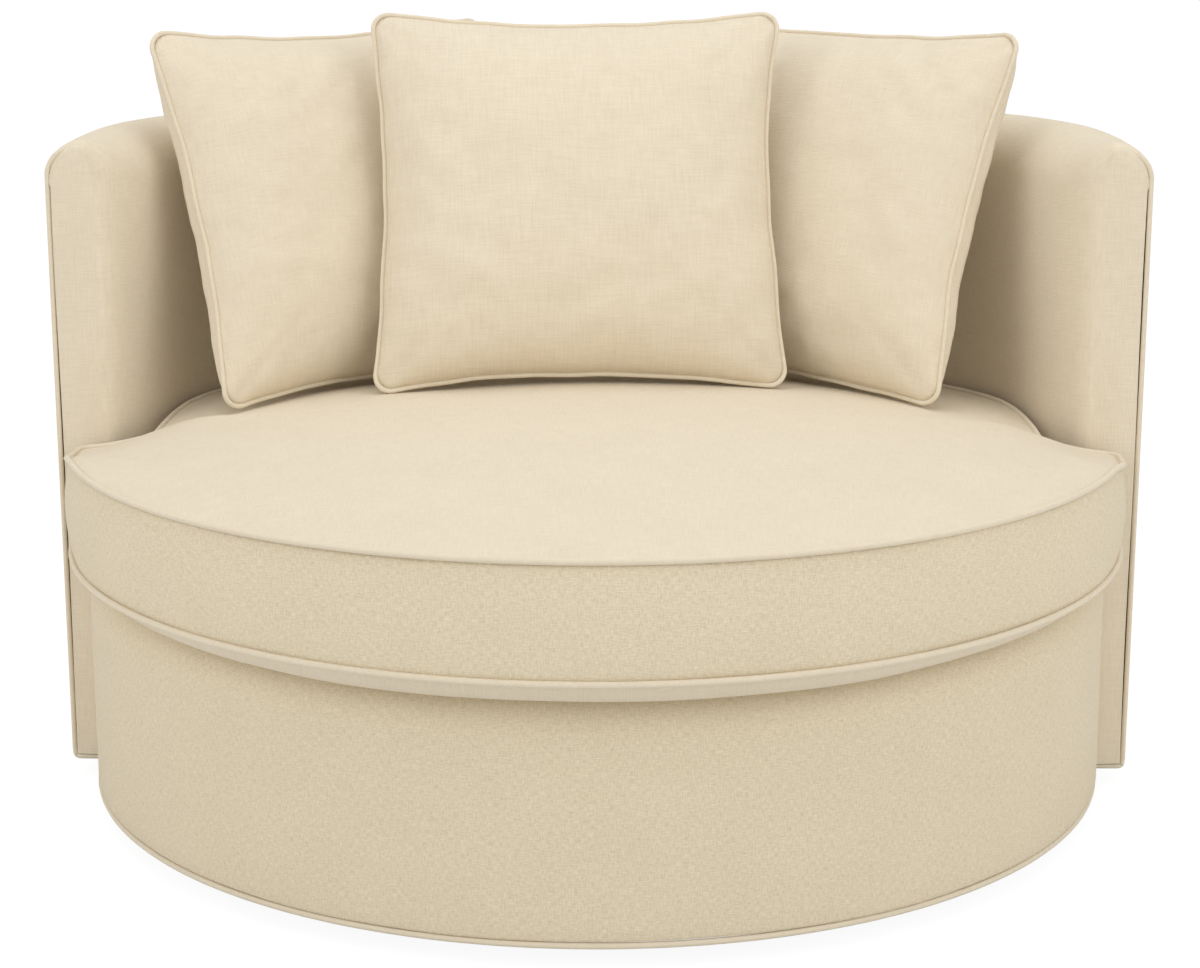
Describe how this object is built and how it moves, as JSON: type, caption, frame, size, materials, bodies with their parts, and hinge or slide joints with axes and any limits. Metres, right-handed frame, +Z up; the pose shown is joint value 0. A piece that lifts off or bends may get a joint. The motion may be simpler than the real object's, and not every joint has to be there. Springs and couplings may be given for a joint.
{
  "type": "cuddle chair",
  "caption": "Round upholstered swivel armchair with a barrel shell, a drum base, a loose boxed seat cushion and loose back pillows.",
  "frame": {"origin": "on the floor, on the swivel axis, midway between the front of the seat cushion and the back of the shell", "axes": "+X to the side, along the chair's width; +Y to the back, so the chair faces -Y; +Z up along the swivel axis"},
  "size_m": [1.25, 1.131, 0.8922],
  "materials": {
    "cover_fabric": "plain woven upholstery cloth",
    "piping": "self-covered piping cord",
    "foam": "open-cell foam",
    "fibre_fill": "polyester fibre",
    "felt": "needled felt pad",
    "webbing": "woven jute strap",
    "dust_cloth": "black non-woven cloth",
    "plywood": "birch plywood",
    "hardwood": "kiln-dried hardwood",
    "fibreboard": "thin hardboard",
    "spring_steel": "tempered wire",
    "zinc_steel": "zinc plated",
    "glide_plastic": "moulded",
    "zip_tape_cloth": "woven tape"
  },
  "bodies": {
    "swivel_base": {"floor_glides": "glide_plastic", "plinth_board": "plywood", "swivel_lower_race": "zinc_steel", "lower_race_screws": "zinc_steel", "ball_cage": "glide_plastic", "bearing_balls": "zinc_steel"},
    "chair_body": {"swivel_upper_race": "zinc_steel", "upper_race_screws": "zinc_steel", "swivel_mount_board": "plywood", "swivel_cross_rails": "hardwood", "frame_bolts": "zinc_steel", "base_bottom_board": "plywood", "base_posts": "hardwood", "corner_blocks": "hardwood", "seat_board": "plywood", "dust_cover": "dust_cloth", "seat_springs": "spring_steel", "spring_clips": "zinc_steel", "spring_tie_wires": "spring_steel", "deck_felt": "felt", "deck_cover": "cover_fabric", "base_front_panel": "fibreboard", "base_front_padding": "foam", "base_front_cover": "cover_fabric", "base_bottom_welt": "piping", "shell_bottom_rail": "plywood", "shell_top_rail": "plywood", "shell_uprights": "hardwood", "arm_front_board_right": "plywood", "arm_front_board_left": "plywood", "back_webbing": "webbing", "outside_board": "fibreboard", "shell_padding": "foam", "shell_inside_cover": "cover_fabric", "shell_outside_cover": "cover_fabric", "shell_front_welt_right": "piping", "shell_front_welt_left": "piping", "shell_bottom_welt": "piping"},
    "seat_cushion": {"seat_cushion_cover": "cover_fabric", "seat_cushion_wrap": "fibre_fill", "seat_cushion_core": "foam", "seat_welt_upper": "piping", "seat_welt_lower": "piping", "seat_zip_tape": "zip_tape_cloth"},
    "zip_slider": {"seat_zip_slider": "zinc_steel"},
    "pillow_left": {"pillow_cover_left": "cover_fabric", "pillow_insert_left": "fibre_fill", "pillow_welt_left": "piping"},
    "pillow_centre": {"pillow_cover_centre": "cover_fabric", "pillow_insert_centre": "fibre_fill", "pillow_welt_centre": "piping"},
    "pillow_right": {"pillow_cover_right": "cover_fabric", "pillow_insert_right": "fibre_fill", "pillow_welt_right": "piping"}
  },
  "joints": [
    {"name": "swivel", "type": "hinge", "parent": "swivel_base", "child": "chair_body", "pos_m": [0, 0, 0.027], "axis": [0, 0, 1], "continuous": true},
    {"name": "seat_cushion_lift", "type": "slide", "parent": "chair_body", "child": "seat_cushion", "axis": [0, 0, 1], "range_m": [0, 0.48]},
    {"name": "zip_travel", "type": "hinge", "parent": "seat_cushion", "child": "zip_slider", "pos_m": [0, -0.14186, 0.3755], "axis": [0, 0, 1], "range_deg": [-24, 24]},
    {"name": "centre_pillow_lift", "type": "slide", "parent": "seat_cushion", "child": "pillow_centre", "axis": [0, 0, 1], "range_m": [0, 0.42]},
    {"name": "left_pillow_lift", "type": "slide", "parent": "seat_cushion", "child": "pillow_left", "axis": [-0.2198, 0.262, 0.9397], "range_m": [0, 0.44]},
    {"name": "right_pillow_lift", "type": "slide", "parent": "seat_cushion", "child": "pillow_right", "axis": [0.2198, 0.262, 0.9397], "range_m": [0, 0.44]}
  ]
}
